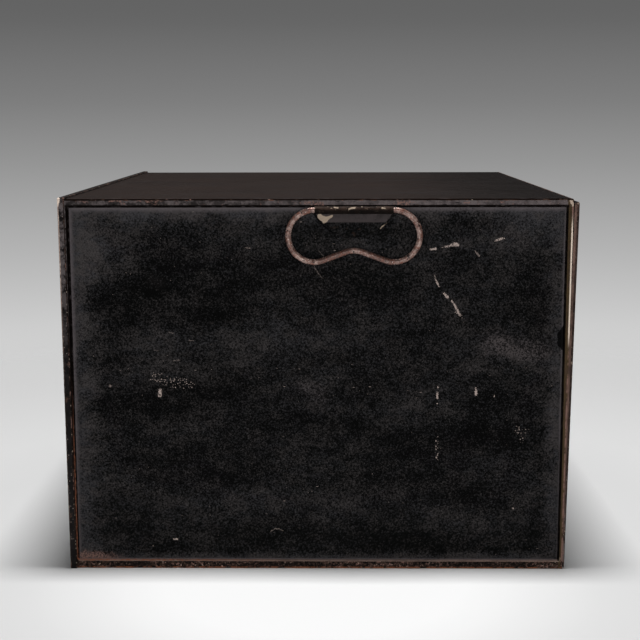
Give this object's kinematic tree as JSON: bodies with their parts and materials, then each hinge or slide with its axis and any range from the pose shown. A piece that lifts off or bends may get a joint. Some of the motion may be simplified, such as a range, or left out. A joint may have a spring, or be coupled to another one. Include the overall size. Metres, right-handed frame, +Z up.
{
  "type": "deed box",
  "caption": "Black japanned sheet-iron deed box with a falling front on a wired hinge, lock with drop cover, sunk side panels and a kidney-shaped wire bail high on each side.",
  "frame": {"origin": "on the floor under the middle of the case", "axes": "+X towards the falling front, +Y towards the right side, +Z up; the left side, seen square on in the picture, faces -Y"},
  "size_m": [0.4232, 0.455, 0.3126],
  "materials": {
    "japanned_sheet": "worn satin black japan, chipped and rusted along its folds",
    "japanned_inside": "thin dull black japan",
    "rusted_wire": "black japan rubbed through to brown iron",
    "hinge_steel": "dark oiled steel",
    "lock_iron": "blackened iron",
    "old_brass": "dull tarnished brass"
  },
  "bodies": {
    "case": {"top_sheet": "japanned_sheet", "bottom_sheet": "japanned_sheet", "back_cap": "japanned_sheet", "left_side_pan": "japanned_sheet", "right_side_pan": "japanned_sheet", "front_header": "japanned_inside", "front_sill": "japanned_inside", "lock_strike": "lock_iron", "strike_rivets": "lock_iron", "hinge_wire": "hinge_steel", "left_handle_plate": "japanned_sheet", "right_handle_plate": "japanned_sheet"},
    "fall_front": {"door_skin": "japanned_sheet", "door_tray": "japanned_sheet", "lock_case": "lock_iron", "lock_cap": "lock_iron", "lock_rivets": "lock_iron", "key_post": "hinge_steel", "tumbler_post": "hinge_steel", "escutcheon": "old_brass", "escutcheon_pins": "old_brass", "cover_pin": "old_brass"},
    "lock_bolt": {"lock_bolt": "hinge_steel"},
    "tumbler": {"tumbler": "old_brass"},
    "keyhole_cover": {"keyhole_cover": "old_brass"},
    "left_handle": {"left_handle": "rusted_wire"},
    "right_handle": {"right_handle": "rusted_wire"}
  },
  "joints": [
    {"name": "front_fall", "type": "hinge", "parent": "case", "child": "fall_front", "pos_m": [0.21095, 0, 0.00245], "axis": [0, 1, 0], "range_deg": [-0.6, 89.4]},
    {"name": "bolt_throw", "type": "slide", "parent": "fall_front", "child": "lock_bolt", "axis": [0.0105, 0, 0.9999], "range_m": [0, 0.006]},
    {"name": "tumbler_lift", "type": "hinge", "parent": "fall_front", "child": "tumbler", "pos_m": [0.20289, -0.0228, 0.2781], "axis": [0.9999, 0, -0.0105], "range_deg": [0, 8]},
    {"name": "cover_swing", "type": "hinge", "parent": "fall_front", "child": "keyhole_cover", "pos_m": [0.21345, 0, 0.28449], "axis": [0.9999, 0, -0.0105], "range_deg": [-100, 100]},
    {"name": "left_bail", "type": "hinge", "parent": "case", "child": "left_handle", "pos_m": [0.0315, -0.2243, 0.3022], "axis": [-1, 0, 0], "range_deg": [0, 125]},
    {"name": "right_bail", "type": "hinge", "parent": "case", "child": "right_handle", "pos_m": [0.0315, 0.2243, 0.3022], "axis": [1, 0, 0], "range_deg": [0, 125]}
  ]
}
